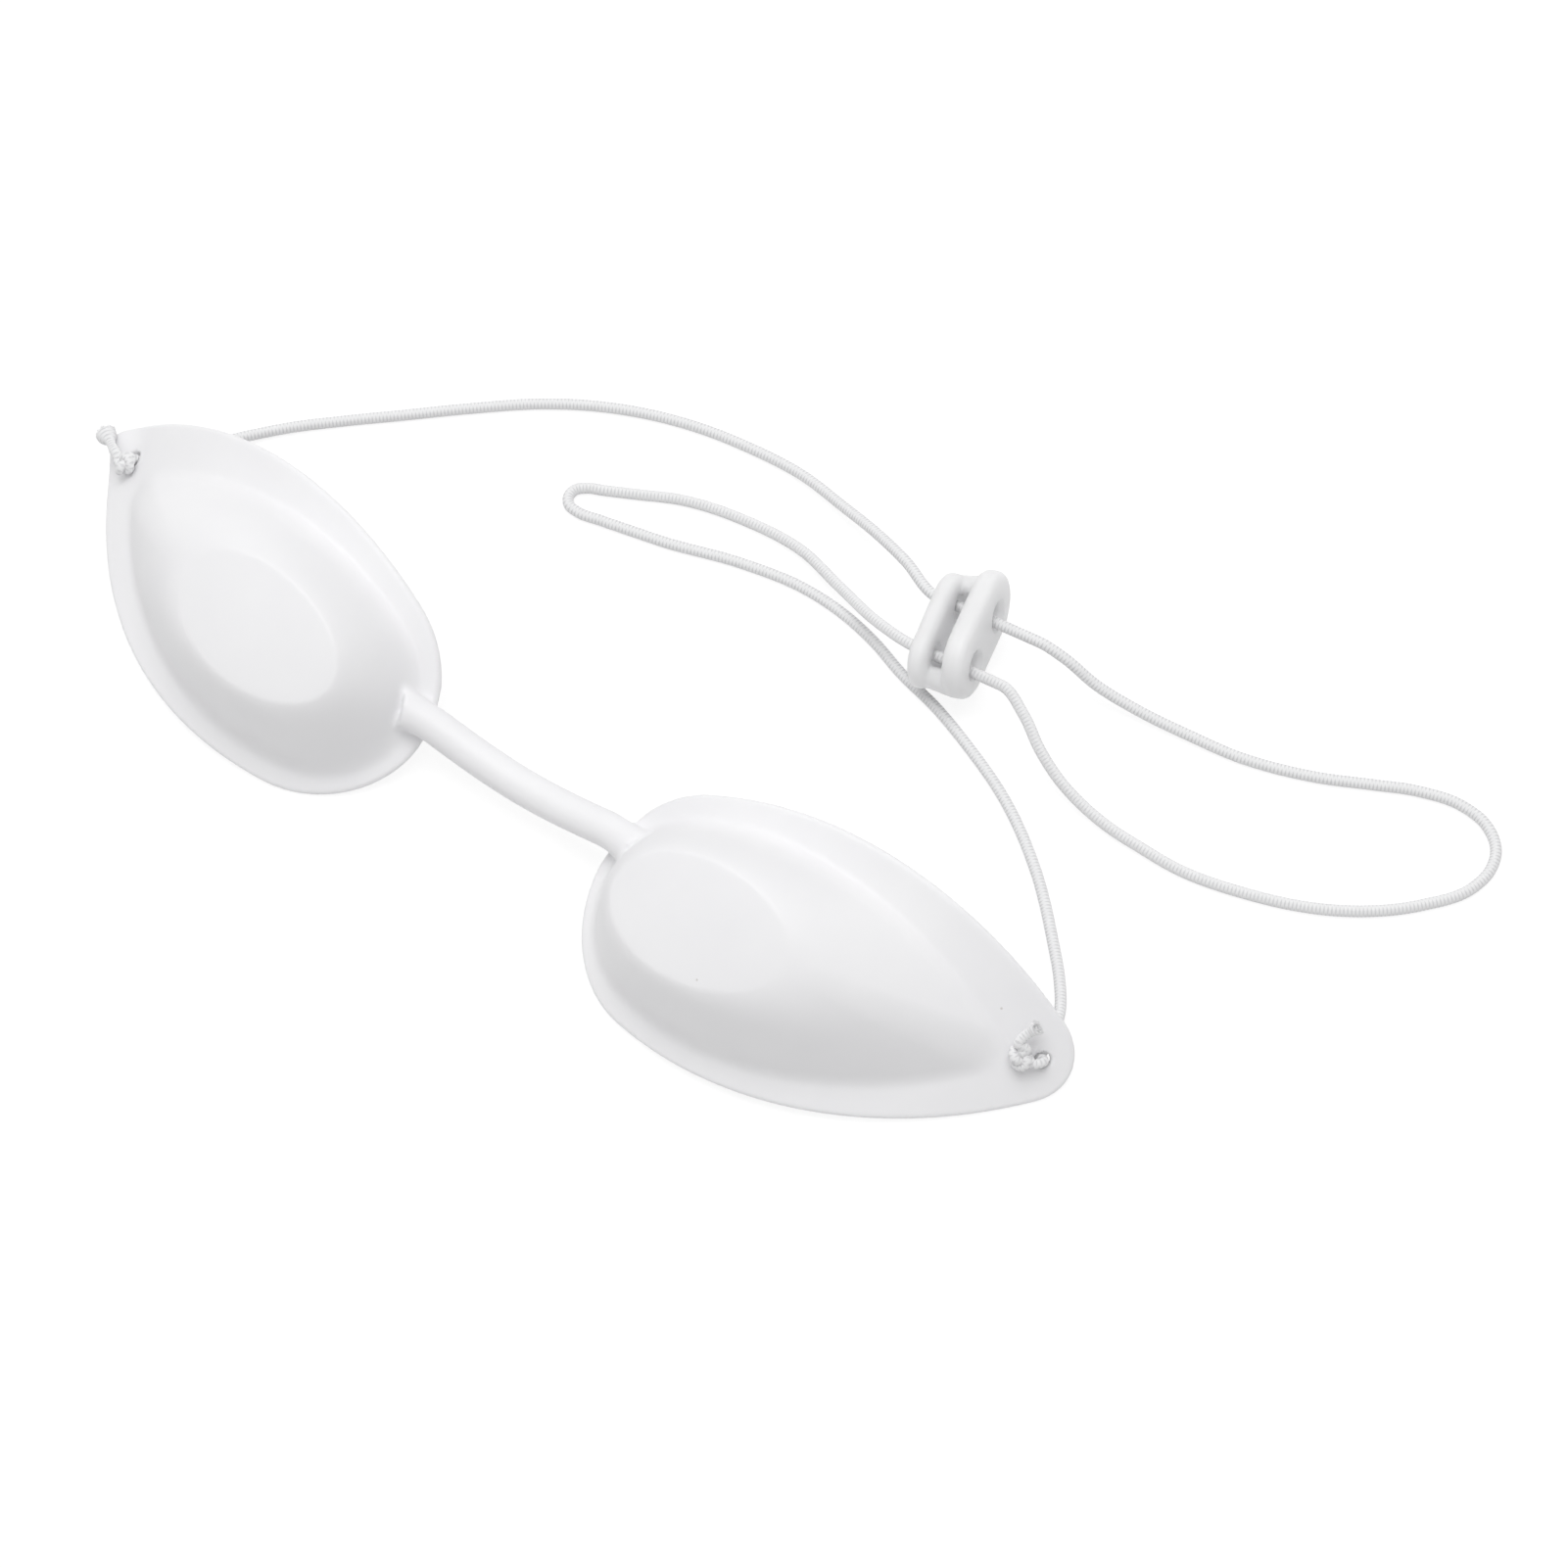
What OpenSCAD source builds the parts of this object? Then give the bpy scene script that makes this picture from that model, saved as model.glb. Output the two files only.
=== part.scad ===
// Soft eye shield for light treatments: two opaque cups on a flexible bridge,
// held by an elastic cord with a sliding two-hole cord lock.
// Units are millimetres. The shield lies face up, at rest on its rims, with +Y towards the brow.

/* [Cups] */
// Distance between the wearer's pupils, which is the spacing of the nose rounds
pupil_distance = 65; // [60:1:72]
// Radius of the rim round the nose end
rim_nose_r = 17; // [16:0.5:19]
// From the nose round's centre out to the temple round's centre
rim_temple_x = 44.5; // [40:0.5:50]
// Rise of the temple round towards the brow
rim_temple_y = 8.5; // [6:0.5:11]
// Radius of the temple round
rim_temple_r = 7; // [6:0.5:9]
// Radius of the rim along the brow
rim_brow_r = 60; // [52:1:80]
// Radius of the rim along the cheek
rim_cheek_r = 61; // [52:1:80]
// Thickness of the moulding
wall = 1.3; // [1:0.1:1.8]

/* [Wrap] */
// Radius of the bow that wraps each rim round the face
bow_r = 60; // [50:1:90]
// Distance of the crest of that bow from the middle of the shield
bow_x = 41.5; // [38:0.5:46]

/* [Domes] */
// Height of the flat facet above the flange's underside
dome_h = 13.5; // [11:0.5:16]
// Flange left between dome and rim at the nose
flange_nose = 3; // [2.5:0.5:4.5]
// Flange left along the brow
flange_brow = 5; // [4:0.5:6]
// Flange left along the cheek
flange_cheek = 4; // [3:0.5:5]
// Flange left at the temple, where the cord is tied
flange_temple = 9; // [8:0.5:11]
// Radius of the dome's foot at its tail
dome_tail_r = 4; // [3:0.5:6]
// How far the dome's tail lies below the temple round
dome_tail_drop = 2.5; // [1:0.5:4]
// Radius of the dome's foot along the brow
dome_brow_r = 52; // [46:1:70]
// Radius of the dome's foot along the cheek
dome_cheek_r = 52; // [46:1:70]
// Half length of the facet
facet_a = 13.4; // [11:0.2:14]
// Half width of the facet
facet_b = 8; // [6:0.2:8.6]
// Distance of the facet's centre outwards from the pupil
facet_x = 5.3; // [3:0.1:7]
// Distance of the facet's centre above the pupil
facet_y = 2; // [1:0.5:3]
// Turn of the facet towards the temple, in degrees
facet_turn = 7; // [0:1:12]
// Crown of the facet
facet_crown = 0.5; // [0.2:0.1:1]
// Half width of the fillet at the dome's foot
foot_fillet = 1.2; // [0.8:0.1:1.6]

/* [Bridge] */
// Diameter of the bridge
bridge_d = 5; // [4:0.2:5.6]
// Height of the bridge's axis above the flange, where it crosses the rim
bridge_rise = 3.2; // [2.6:0.1:3.6]
// Sag of the bridge between the cups
bridge_sag = 1.6; // [0.6:0.1:2]
// Distance of the bridge above the pupils' line
bridge_y = 3; // [0:0.5:4]
// How much the bridge swells where it runs into a cup
bridge_flare = 1; // [0.6:0.1:1.4]
// Distance from the rim at which the free bar ends and its root begins
root_l = 2; // [1:0.5:4]

/* [Cord] */
// Diameter of the elastic cord
cord_d = 1.6; // [1.2:0.1:1.7]
// Diameter of the cord hole at each temple
cord_hole_d = 2.3; // [2.1:0.1:2.6]
// Distance of the cord hole from the temple end of the rim
cord_hole_inset = 4.4; // [3.8:0.1:5]
// Diameter of the cord where a knot squeezes it
knot_cord_d = 1.1; // [0.9:0.05:1.1]
// Diameter of the left knot's flared cord end
left_flare_d = 2.8; // [1.4:0.1:3]
// Diameter of the right knot's cord end
right_flare_d = 1.9; // [1.4:0.1:2.4]

/* [Cord lock] */
// Distance between the lock's two bores
lock_pitch = 8.8; // [8.2:0.1:9.2]
// Diameter of the bores
lock_bore_d = 3.7; // [3.6:0.1:4]
// Width of the lock across its row of bores
lock_w = 10.1; // [9.8:0.1:10.5]
// Thickness of each of the two plates
lock_plate = 2.9; // [2.8:0.1:3.1]
// Width of the slot between the plates
lock_slot = 2.5; // [2:0.1:2.6]
// Rounding of the plates' edges
lock_round = 1.3; // [0.6:0.1:1.3]
// Thickness of the web that joins the plates at each end
lock_web = 1.2; // [0.9:0.1:1.4]
// How far the webs stand back from the plates' edges
lock_web_inset = 0.6; // [0.4:0.1:1]
// Turn of the lock about the vertical, in degrees
lock_turn = 16; // [13:1:17]
// Tip of the lock, which lifts its front plate, in degrees
lock_tip = 10; // [6:1:11]

/* [Hidden] */
$fn = 48;
shell_white = [0.95, 0.95, 0.96];
cord_white = [0.92, 0.92, 0.93];
lock_white = [0.89, 0.89, 0.90];

// How many points each arc of an outline gets: temple, brow, nose, cheek
arc_counts = [10, 15, 16, 13];
columns = arc_counts[0] + arc_counts[1] + arc_counts[2] + arc_counts[3];

// Sizes that follow from the ones above
eye_x = pupil_distance / 2;
rim_nose = [0, 0];
rim_temple = [rim_temple_x, rim_temple_y];
foot_nose_r = rim_nose_r - (flange_brow + flange_cheek) / 2;
foot_nose = [foot_nose_r + flange_nose - rim_nose_r, (flange_cheek - flange_brow) / 2];
foot_temple = [rim_temple_x + rim_temple_r - flange_temple - dome_tail_r, rim_temple_y - dome_tail_drop];
facet_centre = [facet_x, facet_y];
dome_rise = dome_h - wall;
cord_r = cord_d / 2;
cord_hole = [rim_temple_x + rim_temple_r - cord_hole_inset, rim_temple_y + 0.5];

// Share of the dome's rise that is a straight slope, which leaves an edge round the facet
slope_share = 0.28;

function mix(a, b, t) = a + (b - a) * t;
function unit(v) = v / norm(v);
function bearing(v) = atan2(v[1], v[0]);
function mirrored(p) = [-p[0], p[1], p[2]];

// Centre of the arc of radius r that takes in two rounds, on the side given by s
function arc_centre(a, ra, b, rb, r, s) =
    let (d = norm(b - a),
         e = (b - a) / d,
         x = (pow(r - ra, 2) - pow(r - rb, 2) + d * d) / (2 * d),
         y = sqrt(pow(r - ra, 2) - x * x))
    a + e * x - s * [-e[1], e[0]] * y;

// Points of an arc, counter-clockwise, without the last one
function arc(c, r, from, to, count) =
    let (sweep = (to - from + 720) % 360)
    [for (i = [0:count - 1]) c + r * [cos(from + sweep * i / count), sin(from + sweep * i / count)]];

// Teardrop of four tangent arcs
function teardrop(nose, nose_r, temple, temple_r, brow_r, cheek_r) =
    let (brow = arc_centre(nose, nose_r, temple, temple_r, brow_r, 1),
         cheek = arc_centre(nose, nose_r, temple, temple_r, cheek_r, -1),
         a = bearing(temple - cheek),
         b = bearing(temple - brow),
         c = bearing(nose - brow),
         d = bearing(nose - cheek))
    concat(arc(temple, temple_r, a, b, arc_counts[0]),
           arc(brow, brow_r, b, c, arc_counts[1]),
           arc(nose, nose_r, c, d, arc_counts[2]),
           arc(cheek, cheek_r, d, a, arc_counts[3]));

rim = teardrop(rim_nose, rim_nose_r, rim_temple, rim_temple_r, rim_brow_r, rim_cheek_r);
foot = teardrop(foot_nose, foot_nose_r, foot_temple, dome_tail_r, dome_brow_r, dome_cheek_r);

// Point of the facet's edge on the way from a foot point to the facet's centre
function facet_point(p) =
    let (v = p - facet_centre, a = bearing(v) - facet_turn)
    facet_centre + unit(v) * facet_a * facet_b / sqrt(pow(facet_b * cos(a), 2) + pow(facet_a * sin(a), 2));
facet = [for (p = foot) facet_point(p)];

// The bowed sheet that the rim and flange lie on
function sheet_z(x) = -pow(x - bow_x, 2) / (2 * bow_r);
function on_sheet(p, h) = [eye_x + p[0], p[1], h + sheet_z(eye_x + p[0])];

// Height of the dome's wall above the flange, from its foot at 0 to the facet's edge at 1
function wall_rise(s) = dome_rise * ((1 - slope_share) * sin(90 * s) + slope_share * s);

// Outer skin of one cup, one column of points from the rim to the facet's centre
wall_steps = [0.3, 0.45, 0.6, 0.75, 0.88, 0.96, 1];
facet_steps = [0.08, 0.35, 0.65];
function skin_column(i) =
    let (inward = unit(foot[i] - rim[i]),
         up_wall = unit(facet[i] - foot[i]),
         width = norm(facet[i] - foot[i]),
         edge = rim[i] + inward * wall / 2,
         start = foot[i] - up_wall * foot_fillet,
         steepness = wall_rise(0.01) / (0.01 * width))
    concat([on_sheet(edge, wall), on_sheet(mix(edge, start, 0.5), wall)],
           [for (d = [-1, -0.4, 0.2, 0.8])
               on_sheet(foot[i] + up_wall * foot_fillet * d,
                        wall + steepness * foot_fillet * pow(d + 1, 2) / 4)],
           [for (s = wall_steps) on_sheet(mix(foot[i], facet[i], s), wall + wall_rise(s))],
           [for (t = facet_steps) on_sheet(mix(facet[i], facet_centre, t),
                                           dome_h + facet_crown * (1 - pow(1 - t, 2)))]);
skin = [for (i = [0:columns - 1]) skin_column(i)];
rows = len(skin[0]);
facet_top = on_sheet(facet_centre, dome_h + facet_crown);

// Outward normal of the skin at column i, row j
function skin_normal(i, j) =
    let (round_it = skin[(i + 1) % columns][j] - skin[(i + columns - 1) % columns][j],
         inward = (j + 1 < rows ? skin[i][j + 1] : facet_top) - skin[i][max(j - 1, 0)])
    unit(cross(-inward, round_it));
function inner_point(i, j) = skin[i][j] - wall * skin_normal(i, j);

// Round edge of the rim: from the top skin down to the underside
function edge_point(i, a) =
    let (top = skin[i][0], low = inner_point(i, 0), out = unit(top - skin[i][1]))
    (top + low) / 2 + out * cos(a) * wall / 2 + (top - low) / 2 * sin(a);
edge_angles = [45, 0, -45];

// Closed rings of one cup, from the facet's top over the rim to its underside
cup_rings = concat([for (j = [rows - 1:-1:0]) [for (i = [0:columns - 1]) skin[i][j]]],
                   [for (a = edge_angles) [for (i = [0:columns - 1]) edge_point(i, a)]],
                   [for (j = [0:rows - 1]) [for (i = [0:columns - 1]) inner_point(i, j)]]);

// Solid between rings of points, closed by a point at each end
module ringed_solid(rings, first, last) {
    n = len(rings[0]);
    m = len(rings);
    points = concat([for (r = rings) each r], [first, last]);
    faces = concat([for (i = [0:n - 1]) [m * n, (i + 1) % n, i]],
                   [for (j = [0:m - 2], i = [0:n - 1])
                       let (a = j * n + i, b = j * n + (i + 1) % n)
                       each [[a, b, a + n], [b, b + n, a + n]]],
                   [for (i = [0:n - 1]) [m * n + 1, (m - 1) * n + i, (m - 1) * n + (i + 1) % n]]);
    polyhedron(points, faces);
}

// How the shield lies: tilted about X until temple ends and cheek rims both touch
balance = [facet_y + 0.8, dome_h * 0.22];
rim_points = [for (i = [0:columns - 1], a = [90:-45:-90]) edge_point(i, a)];
function tilted(p, a) = [p[0], p[1] * cos(a) - p[2] * sin(a), p[1] * sin(a) + p[2] * cos(a)];
function lowest(a) = min([for (p = rim_points) tilted(p, a)[2]]);
tilts = [for (a = [20:0.2:44]) a];
balance_heights = [for (a = tilts) tilted([0, balance[0], balance[1]], a)[2] - lowest(a)];
rest_tilt = [for (i = [0:len(tilts) - 1]) if (balance_heights[i] == min(balance_heights)) tilts[i]][0];
rim_reach = [for (p = rim_points) tilted(p, rest_tilt)[1]];
rest_shift = [0, -(min(rim_reach) + max(rim_reach)) / 2, -lowest(rest_tilt)];
function at_rest(p) = tilted(p, rest_tilt) + rest_shift;
module lay_at_rest() {
    translate(rest_shift) rotate([rest_tilt, 0, 0]) children();
}

// Bridge: an arc between the cups, which runs on straight into each dome
rim_nose_x = eye_x - sqrt(pow(rim_nose_r, 2) - pow(bridge_y, 2));
bar_end_x = rim_nose_x - root_l;
bar_r = (pow(bar_end_x, 2) + pow(bridge_sag, 2)) / (2 * bridge_sag);
bar_slope = asin(bar_end_x / bar_r);
bar_end_z = sheet_z(rim_nose_x) + bridge_rise - tan(bar_slope) * root_l;
bar_z = bar_end_z - bridge_sag;
root_sides = 24;
root_steps = [0, 0.3, 0.55, 0.75, 0.9, 1];

// Where the line of a root point meets the middle of the dome's wall
nose_width = norm(facet_point(foot_nose - [foot_nose_r, 0]) - foot_nose + [foot_nose_r, 0]);
nose_steepness = wall_rise(0.1) / (0.1 * nose_width);
function root_end_x(y, z) =
    let (h = max(z - sheet_z(eye_x + foot_nose[0] - foot_nose_r) - wall, 0),
         r = foot_nose_r - h / nose_steepness - wall / 2)
    eye_x + foot_nose[0] - sqrt(r * r - pow(y - foot_nose[1], 2));
function root_point(a, t) =
    let (r = bridge_d / 2 + bridge_flare * pow(t, 3),
         y = bridge_y + r * cos(a),
         x0 = bar_end_x - r * sin(a) * sin(bar_slope),
         z0 = bar_end_z + r * sin(a) * cos(bar_slope),
         x1 = root_end_x(y, z0 + tan(bar_slope) * (root_l + flange_nose)),
         x = mix(x0, x1, t),
         z = z0 + tan(bar_slope) * (x - x0))
    [x, y, t == 0 ? z : max(z, sheet_z(x) + wall * 0.4)];
root_rings = [for (t = root_steps) [for (i = [0:root_sides - 1]) root_point(-i * 360 / root_sides, t)]];
module bridge_root() {
    first = [bar_end_x, bridge_y, bar_end_z];
    last = [for (k = [0:2]) mix(root_point(90, 1)[k], root_point(-90, 1)[k], 0.5)];
    ringed_solid(root_rings, first, last);
}

module cord_hole_cut() {
    x = eye_x + cord_hole[0];
    translate(on_sheet(cord_hole, 0))
        rotate([0, atan((x - bow_x) / bow_r), 0])
            cylinder(d = cord_hole_d, h = 6 * wall, center = true);
}

module right_cup_form() {
    difference() {
        union() {
            ringed_solid(cup_rings, facet_top, facet_top - [0, 0, wall]);
            bridge_root();
        }
        cord_hole_cut();
    }
}

module right_eye_cup() {
    color(shell_white) lay_at_rest() right_cup_form();
}

module left_eye_cup() {
    color(shell_white) lay_at_rest() mirror([1, 0, 0]) right_cup_form();
}

module nose_bridge() {
    color(shell_white)
        lay_at_rest()
            translate([0, bridge_y, bar_z + bar_r])
                rotate([90, 0, 0])
                    rotate([0, 0, -90 - bar_slope])
                        rotate_extrude(angle = 2 * bar_slope, $fn = 360)
                            translate([bar_r, 0]) circle(d = bridge_d, $fn = root_sides);
}

// Curve through the points of a route, with its direction given at both ends
ring_gap = 8;
function bend_at(p, i) =
    let (a = p[i] - p[i - 1], b = p[i + 1] - p[i])
    unit(a / norm(a) * norm(b) + b / norm(b) * norm(a));
function headings(p, first, last) =
    concat([first], [for (i = [1:len(p) - 2]) bend_at(p, i)], [last]);
function span(a, b, u, v, n) =
    let (l = norm(b - a))
    [for (k = [0:n - 1]) let (t = k / n, w = 1 - t)
        a * (1 + 2 * t) * w * w + b * t * t * (3 - 2 * t) + u * l * t * w * w - v * l * t * t * w];
function smooth(p, first, last) =
    let (h = headings(p, first, last),
         c = [for (i = [0:len(p) - 2])
                 each span(p[i], p[i + 1], h[i], h[i + 1],
                           max(1, round(norm(p[i + 1] - p[i]) / ring_gap)))])
    concat([for (q = c) [q[0], q[1], max(q[2], cord_r)]], [p[len(p) - 1]]);

// Round tube along a curve, with a radius for each of its points
tube_sides = 8;
function sides_along(h, s, i = 0) =
    i == len(h) ? [] : let (n = unit(s - h[i] * (s * h[i]))) concat([n], sides_along(h, n, i + 1));
module tube(curve, first, last, radii) {
    h = headings(curve, first, last);
    s = sides_along(h, abs(first[2]) > 0.6 ? [0, 1, 0] : [0, 0, 1]);
    rings = [for (i = [0:len(curve) - 1])
                [for (k = [0:tube_sides - 1]) let (a = -k * 360 / tube_sides)
                    curve[i] + radii[i] * (cos(a) * s[i] + sin(a) * cross(h[i], s[i]))]];
    ringed_solid(rings, curve[0], curve[len(curve) - 1]);
}
module cord(curve, first, last) {
    color(cord_white) tube(curve, first, last, [for (p = curve) cord_r]);
}

// The cord lock lies on its long side across the crossing cord, a little clear of it
lock_gap = 0.25;
lock_width = 2 * lock_plate + lock_slot;
lock_level = (lock_w / 2 - lock_round) * cos(lock_tip) + (lock_width / 2 - lock_round) * sin(lock_tip) + lock_round;
low_bore = [33.7, 52.1, cord_d + lock_gap + lock_level];
high_bore = low_bore + lock_pitch * [-sin(lock_turn), cos(lock_turn), 0];

// The cord runs straight through both bores, and the lock slides along it
cord_turn = 7;
cord_climb = 3;
along = [cos(cord_turn) * cos(cord_climb), sin(cord_turn) * cos(cord_climb), sin(cord_climb)];
cord_drop = [0, 0, -0.2 * (lock_bore_d - cord_d) / 2];
function in_bore(bore, x) = bore + cord_drop + along * (x - bore[0]) / along[0];
function behind(bore) = in_bore(bore, bore[0] - lock_width / 2 - 1);
split_x = 42.4;

// Where the cord passes a temple hole, at a depth below the top skin
hole_lean = atan((eye_x + cord_hole[0] - bow_x) / bow_r);
hole_axis = [sin(hole_lean), 0, cos(hole_lean)];
function in_hole(depth) = at_rest(on_sheet(cord_hole, 0) + hole_axis * (wall - depth));
hole_up = tilted(hole_axis, rest_tilt);
knot_start = 0.2;

// Points on the table, each with the height of the cord's underside
function lay(p) = [p[0], p[1], p[2] + cord_r];
left_points = [[-78.2, 14.4, 1.5], [-75.8, 19, 0.9], [-72.6, 24, 0.5], [-67.3, 31.1, 0.1], [-62.3, 36.3, 0],
               [-56.5, 41.9, 0], [-49.2, 49, 0], [-41.8, 55.6, 0], [-35.6, 59.9, 0], [-29.2, 63.2, 0],
               [-22.1, 65.8, 0], [-13.8, 67.6, 0], [-3.8, 68.3, 0.4], [4.9, 66.7, 1.8], [13.2, 64.5, 4],
               [19.4, 62.4, 5.5]];
loop_points = [[46.4, 62.4, 6], [51.6, 63, 3.2], [58, 64.2, 1.2], [65.5, 65.6, 0.3], [72.9, 67, 0],
               [83.5, 70.9, 0], [89.6, 74.2, 0], [95.6, 77.3, 0], [101.1, 78.8, 0], [105.6, 78.2, 0],
               [108.9, 75.5, 0], [109.9, 72.3, 0], [109.5, 68.8, 0], [105.4, 62.3, 0], [97.4, 55.2, 0],
               [92, 52.2, 0], [86.5, 50, 0], [76.7, 47.4, 0], [70.4, 47, 0.2], [65, 46.9, 0.5],
               [60.2, 47.3, 1.2], [56.1, 48, 2.4], [51.9, 49.4, 4], [47.4, 51.7, 5.8]];
right_points = [[22.2, 52.2, 5], [13.2, 55.1, 2.5], [3.7, 57.9, 0.5], [-6.3, 57.2, 0],
                [-15.1, 54.6, 0], [-20.4, 51.7, 0], [-24.8, 49.1, 0], [-27.6, 47.8, 0], [-28.6, 46.1, 0],
                [-27.2, 44.6, 0], [-24.3, 44.6, 0], [-17.3, 46.2, 0], [-12.4, 47.5, 0], [-1.2, 51.3, 0],
                [8.2, 53.2, 0], [15.4, 53.3, 0], [21.5, 52.4, 0], [28, 50.5, 0], [34.8, 49.2, 0],
                [42.4, 46.8, 0], [51.1, 42.6, 0], [61.4, 35.6, 0], [69.8, 28, 0],
                [73.8, 23.9, 0.1], [76.7, 20, 0.5], [78.4, 15.6, 1.4]];

left_route = concat([mirrored(in_hole(knot_start)), mirrored(in_hole(wall + 0.8))],
                    [for (p = left_points) lay(p)],
                    [behind(high_bore), high_bore + cord_drop, in_bore(high_bore, split_x)]);
loop_route = concat([in_bore(high_bore, split_x)],
                    [for (p = loop_points) lay(p)],
                    [in_bore(low_bore, split_x)]);
right_route = concat([in_bore(low_bore, split_x), low_bore + cord_drop, behind(low_bore)],
                     [for (p = right_points) lay(p)],
                     [in_hole(wall + 0.8), in_hole(knot_start)]);

module left_cord() {
    cord(smooth(left_route, -mirrored(hole_up), along), -mirrored(hole_up), along);
}

module adjusting_loop() {
    cord(smooth(loop_route, along, -along), along, -along);
}

module right_cord() {
    cord(smooth(right_route, -along, hole_up), -along, hole_up);
}

// Overhand knot: a trefoil wound round a ring, opened on one side
knot_r = knot_cord_d / 2;
knot_ring_r = 2.25 * knot_r;
knot_wind_r = 1.05 * knot_r;
knot_open = 20;
function trefoil(t) =
    let (r = knot_ring_r - knot_wind_r * cos(3 * t))
    [r * cos(2 * t), r * sin(2 * t), 1.1 * knot_wind_r * sin(3 * t)];
knot_turns = [for (i = [0:22]) mix(knot_open - 180, 180 - knot_open, i / 22)];
function turned(p, a) = [p[0] * cos(a) - p[1] * sin(a), p[0] * sin(a) + p[1] * cos(a), p[2]];

// Knot on a flange, in its own frame: X outwards, Y browwards, Z off the flange's top
module knot(centre, turn, flip, tail, flare_d) {
    middle = [centre[0], centre[1], knot_r + 1.1 * knot_wind_r - 0.1];
    loops = [for (t = knot_turns)
                let (p = trefoil(t)) middle + turned([p[0], p[1] * flip, p[2]], turn)];
    lead = unit([loops[0][0], loops[0][1], 0]);
    rise = 0.6 + knot_r;
    into = [[0, 0, -knot_start], [0, 0, 0.5], lead * 0.4 + [0, 0, rise], lead * 1.2 + [0, 0, rise]];
    points = concat(into, loops, tail);
    n = len(points);
    last = unit(points[n - 1] - points[n - 2]);
    radii = [for (i = [0:n - 1]) i < n - 2 ? knot_r : i == n - 2 ? mix(knot_r, flare_d / 2, 0.35) : flare_d / 2];
    tube(points, [0, 0, 1], last, radii);
}

// Puts a knot on the right flange, at the cord's hole
module on_right_flange() {
    lay_at_rest()
        translate(on_sheet(cord_hole, 0) + hole_axis * wall)
            rotate([0, hole_lean, 0]) children();
}

module right_knot() {
    color(cord_white)
        on_right_flange() knot([-3.6, -1], 55, 1, [[-3.8, 1.6, 2], [-3.9, 2.9, 2.3], [-4, 3.9, 2.5]], right_flare_d);
}

module left_knot() {
    color(cord_white)
        mirror([1, 0, 0])
            on_right_flange() knot([-1.2, -2.8], 38, -1, [[2.4, -1.6, 2.2], [4.6, -1.3, 2.6], [7, -1, 2.8]], left_flare_d);
}

// One plate of the lock, its row of bores along X, with rounded edges
module plate_section() {
    square([lock_w - 2 * lock_round, lock_plate], center = true);
    square([lock_w, lock_plate - 2 * lock_round], center = true);
    for (x = [-1, 1], y = [-1, 1])
        translate([x * (lock_w / 2 - lock_round), y * (lock_plate / 2 - lock_round)])
            circle(r = lock_round);
}

module plate() {
    rotate([90, 0, 90]) linear_extrude(lock_pitch) plate_section();
    for (x = [0, lock_pitch])
        translate([x, 0, 0])
            rotate_extrude()
                intersection() {
                    plate_section();
                    translate([0, -lock_plate]) square([lock_w, 2 * lock_plate]);
                }
}

// Curved web that joins the plates round one end
module end_web() {
    r = lock_w / 2 - lock_web_inset;
    difference() {
        cylinder(r = r, h = lock_slot + 1, center = true);
        cylinder(r = r - lock_web, h = lock_slot + 2, center = true);
        translate([2 * r - r * 0.5, 0, 0]) cube([4 * r, 4 * r, lock_slot + 2], center = true);
    }
}

module lock_form() {
    difference() {
        union() {
            for (s = [-1, 1]) translate([0, 0, s * (lock_slot + lock_plate) / 2]) plate();
            end_web();
            translate([lock_pitch, 0, 0]) mirror([1, 0, 0]) end_web();
        }
        for (x = [0, lock_pitch]) translate([x, 0, 0]) {
            cylinder(d = lock_bore_d, h = lock_width + 1, center = true);
            for (s = [0, 1]) mirror([0, 0, s])
                translate([0, 0, lock_width / 2 - 0.4])
                    cylinder(d1 = lock_bore_d, d2 = lock_bore_d + 1, h = 0.5);
        }
    }
}

module cord_lock() {
    color(lock_white)
        translate(low_bore)
            rotate([0, -lock_tip, lock_turn]) rotate([90, 0, 90]) lock_form();
}

left_eye_cup();
right_eye_cup();
nose_bridge();
left_cord();
adjusting_loop();
right_cord();
left_knot();
right_knot();
cord_lock();
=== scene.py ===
# Looks of the soft eye shield: a white moulding, an elastic cord knotted at both temples, a lock.
# Sizes are in millimetres and angles in degrees. Meshes are made in metres.
import math
import random

import bpy
import numpy as np
from mathutils import Matrix


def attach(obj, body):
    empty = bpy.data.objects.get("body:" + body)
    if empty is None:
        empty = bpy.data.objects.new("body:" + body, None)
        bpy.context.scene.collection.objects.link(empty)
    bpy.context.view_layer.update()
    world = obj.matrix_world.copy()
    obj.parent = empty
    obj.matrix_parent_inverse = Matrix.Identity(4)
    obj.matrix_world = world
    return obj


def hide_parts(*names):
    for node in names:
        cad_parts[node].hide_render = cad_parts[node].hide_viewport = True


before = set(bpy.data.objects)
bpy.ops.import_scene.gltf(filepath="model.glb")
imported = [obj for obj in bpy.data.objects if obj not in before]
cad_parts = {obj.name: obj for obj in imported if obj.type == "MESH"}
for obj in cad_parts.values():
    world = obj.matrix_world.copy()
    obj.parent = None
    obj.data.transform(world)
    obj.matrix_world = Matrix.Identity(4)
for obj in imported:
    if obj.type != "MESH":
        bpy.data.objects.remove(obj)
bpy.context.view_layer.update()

MM = 0.001
scene = bpy.context.scene
scene.view_settings.view_transform = "Standard"


def put_in_scene(obj, right, up, back, place):
    """Sets an object's axes and place, in metres, and adds it to the scene."""
    rows = [[right[k], up[k], back[k], place[k]] for k in range(3)]
    obj.matrix_world = Matrix(rows + [[0, 0, 0, 1]])
    scene.collection.objects.link(obj)


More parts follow.
